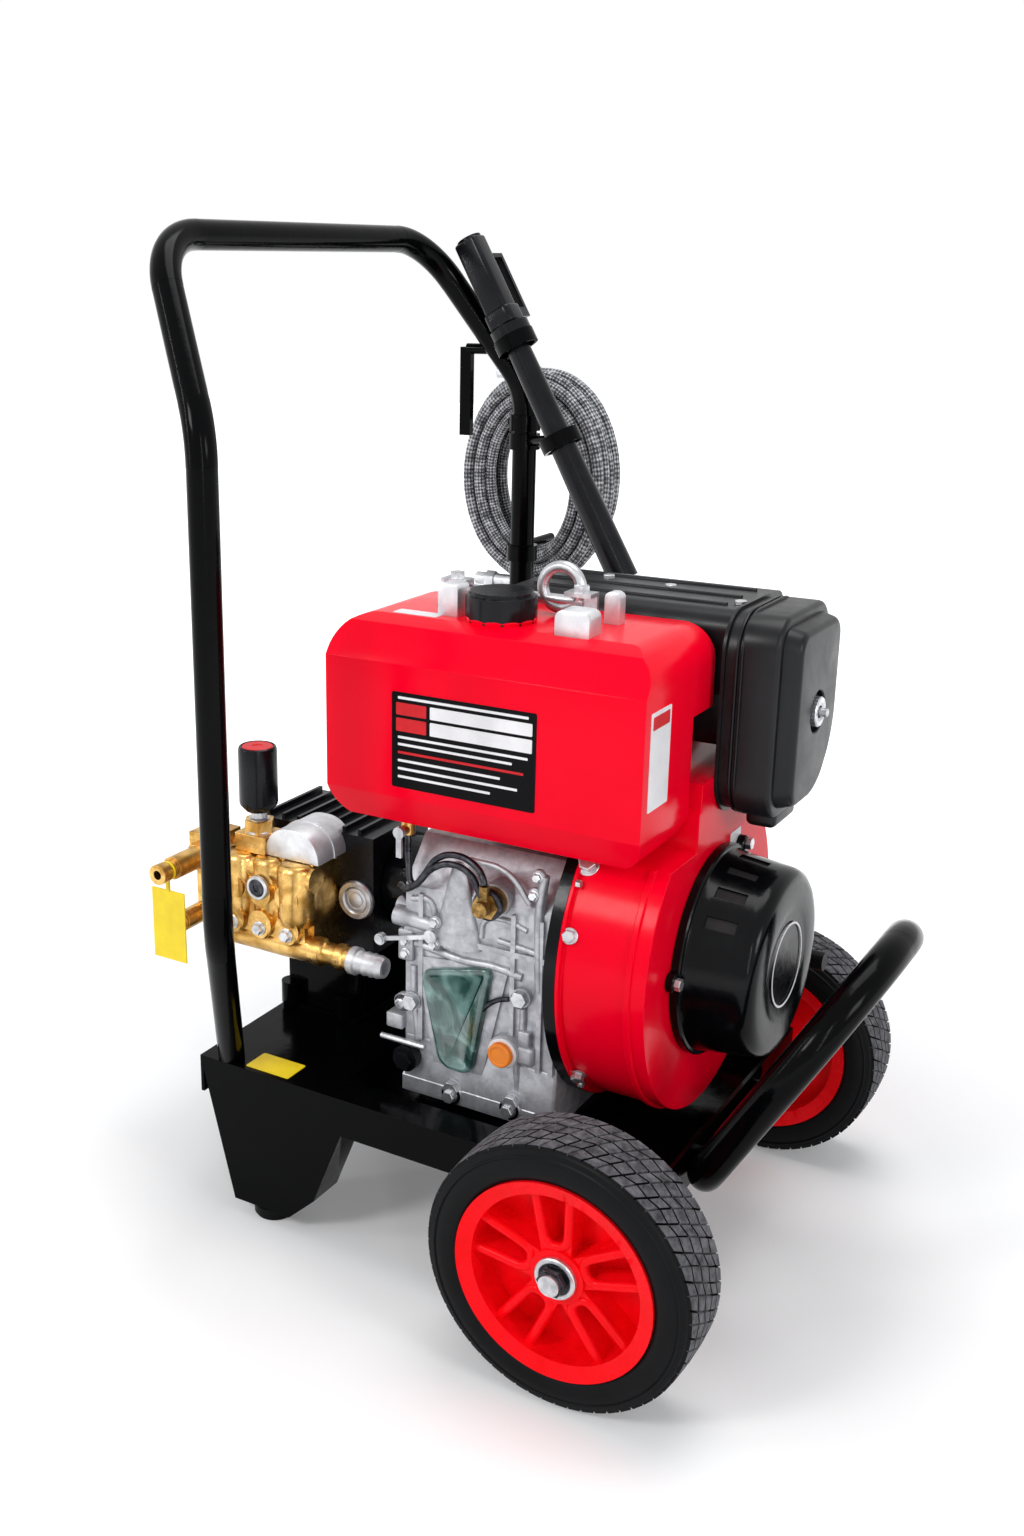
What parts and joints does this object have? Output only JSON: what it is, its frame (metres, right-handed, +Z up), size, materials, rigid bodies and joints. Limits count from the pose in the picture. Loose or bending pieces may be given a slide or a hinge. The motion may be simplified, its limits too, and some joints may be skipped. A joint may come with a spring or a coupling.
{
  "type": "wheeled high-pressure washer",
  "caption": "Engine-driven pressure washer on a black two-wheel trolley, with a piston pump, a black hoop handle, a front bumper hoop, and a gun and coiled hose on the handle.",
  "frame": {"origin": "Centre of the bounding box in plan, on the ground, without the hose coil and its two couplings.", "axes": "+Z up. +X runs along the crankshaft from the pump towards the starter and the bumper. The handle bar and the wheel axle lie along Y."},
  "size_m": [0.755, 0.733, 1.0171],
  "materials": {
    "frame_black": "gloss black powder coat",
    "tube_black": "gloss black powder coat",
    "foot_rubber": "matte black rubber",
    "zinc": "zinc-plated steel",
    "tyre": "dusty black tyre rubber",
    "rim_red": "gloss red enamel",
    "casting": "sand-cast aluminium",
    "iron": "machined cast iron",
    "engine_red": "gloss red paint",
    "engine_black": "satin black paint",
    "black_plastic": "moulded black plastic",
    "panel_green": "dark green enamel",
    "steel": "machined steel",
    "filter_paper": "pleated filter paper",
    "rope_white": "braided nylon",
    "brass": "machined brass",
    "cap_orange": "orange plastic",
    "lever_red": "red plastic",
    "tag_yellow": "bare yellow tag",
    "gun_black": "moulded black plastic",
    "hose_grey": "grey braided hose cover",
    "chrome": "chromed steel"
  },
  "bodies": {
    "trolley": {"base_pan": "frame_black", "handle_tube": "tube_black", "bumper_hoop": "tube_black", "foot_near": "foot_rubber", "foot_far": "foot_rubber", "axle": "zinc", "axle_nut_near": "zinc", "axle_nut_far": "zinc", "engine_mounts": "foot_rubber", "crankcase": "casting", "side_panel": "panel_green", "oil_filter": "black_plastic", "cylinder": "casting", "rocker_cover": "casting", "spacer_plate": "engine_black", "blower_housing": "engine_red", "starter_housing": "engine_black", "muffler": "engine_black", "air_case": "black_plastic", "air_canister": "black_plastic", "air_element": "filter_paper", "fuel_tank": "engine_red", "tank_hardware": "zinc", "fuel_tap": "brass", "injection_pump": "zinc", "fuel_hose_feed": "foot_rubber", "fuel_hose_return": "foot_rubber", "engine_bolts": "zinc", "coupling_housing": "engine_black", "pump_crankcase": "engine_black", "pump_pedestal": "tube_black", "pump_head": "brass", "head_plugs": "brass", "sight_glass": "chrome", "unloader": "brass", "outlet_fitting": "brass", "inlet_fitting": "brass", "gun_holder": "tube_black", "hose_hooks": "tube_black", "hose_coil": "hose_grey", "hose_ends": "zinc"},
    "wheel_near": {"tyre_near": "tyre", "rim_near": "rim_red"},
    "wheel_far": {"tyre_far": "tyre", "rim_far": "rim_red"},
    "crank": {"crankshaft": "steel", "flywheel": "iron", "pump_shaft": "steel"},
    "reel": {"starter_reel": "black_plastic"},
    "starter_pull": {"starter_grip": "black_plastic", "starter_rope": "rope_white"},
    "filter_nut": {"wing_nut": "zinc"},
    "tank_cap": {"fuel_cap": "black_plastic"},
    "tap_handle": {"tap_lever": "lever_red"},
    "oil_filler": {"oil_cap": "cap_orange"},
    "throttle": {"speed_lever": "zinc"},
    "pressure_knob": {"unloader_knob": "black_plastic"},
    "tag": {"hang_tag": "tag_yellow"},
    "gun": {"gun_body": "gun_black"},
    "trigger": {"gun_trigger": "gun_black"}
  },
  "joints": [
    {"name": "wheel_near_spin", "type": "hinge", "parent": "trolley", "child": "wheel_near", "pos_m": [0.16947, -0.31483, 0.13], "axis": [0, 1, 0], "continuous": true},
    {"name": "wheel_far_spin", "type": "hinge", "parent": "trolley", "child": "wheel_far", "pos_m": [0.16947, 0.20517, 0.13], "axis": [0, 1, 0], "continuous": true},
    {"name": "crank_turn", "type": "hinge", "parent": "trolley", "child": "crank", "pos_m": [0.01947, -0.03683, 0.332], "axis": [1, 0, 0], "continuous": true},
    {"name": "reel_turn", "type": "hinge", "parent": "trolley", "child": "reel", "pos_m": [0.21947, -0.03683, 0.332], "axis": [1, 0, 0], "range_deg": [0, 156], "stiffness_Nm_per_rad": 0.05},
    {"name": "starter_slide", "type": "slide", "parent": "trolley", "child": "starter_pull", "axis": [0, 1, 0], "range_m": [0, 0.13]},
    {"name": "filter_nut_turn", "type": "hinge", "parent": "trolley", "child": "filter_nut", "pos_m": [0.25247, 0.01517, 0.572], "axis": [1, 0, 0], "continuous": true},
    {"name": "tank_cap_turn", "type": "hinge", "parent": "trolley", "child": "tank_cap", "pos_m": [-0.01053, -0.13483, 0.67], "axis": [0, 0, 1], "range_deg": [0, 90]},
    {"name": "fuel_tap_turn", "type": "hinge", "parent": "trolley", "child": "tap_handle", "pos_m": [-0.09253, -0.18283, 0.4445], "axis": [0, 1, 0], "range_deg": [0, 90]},
    {"name": "oil_filler_turn", "type": "hinge", "parent": "trolley", "child": "oil_filler", "pos_m": [0.02547, -0.17883, 0.236], "axis": [0, 1, 0], "range_deg": [-360, 0]},
    {"name": "throttle_turn", "type": "hinge", "parent": "trolley", "child": "throttle", "pos_m": [-0.05853, -0.17883, 0.34], "axis": [0, 1, 0], "range_deg": [-20, 20]},
    {"name": "pressure_knob_turn", "type": "hinge", "parent": "trolley", "child": "pressure_knob", "pos_m": [-0.29753, -0.13983, 0.45], "axis": [0, 0, 1], "range_deg": [-540, 540]},
    {"name": "tag_swing", "type": "hinge", "parent": "trolley", "child": "tag", "pos_m": [-0.35553, -0.22633, 0.364], "axis": [0, 1, 0], "range_deg": [-25, 25]},
    {"name": "gun_lift", "type": "slide", "parent": "trolley", "child": "gun", "axis": [-0.4924, 0, 0.8704], "range_m": [0, 0.25]},
    {"name": "trigger_pull", "type": "hinge", "parent": "gun", "child": "trigger", "pos_m": [-0.19198, 0.20517, 0.92412], "axis": [0.8704, 0, 0.4924], "range_deg": [0, 12], "stiffness_Nm_per_rad": 0.6, "springref_deg": -5.73}
  ],
  "couplings": [
    {"joint": "starter_slide", "follows": "reel_turn", "m_per_rad": 0.0475}
  ]
}
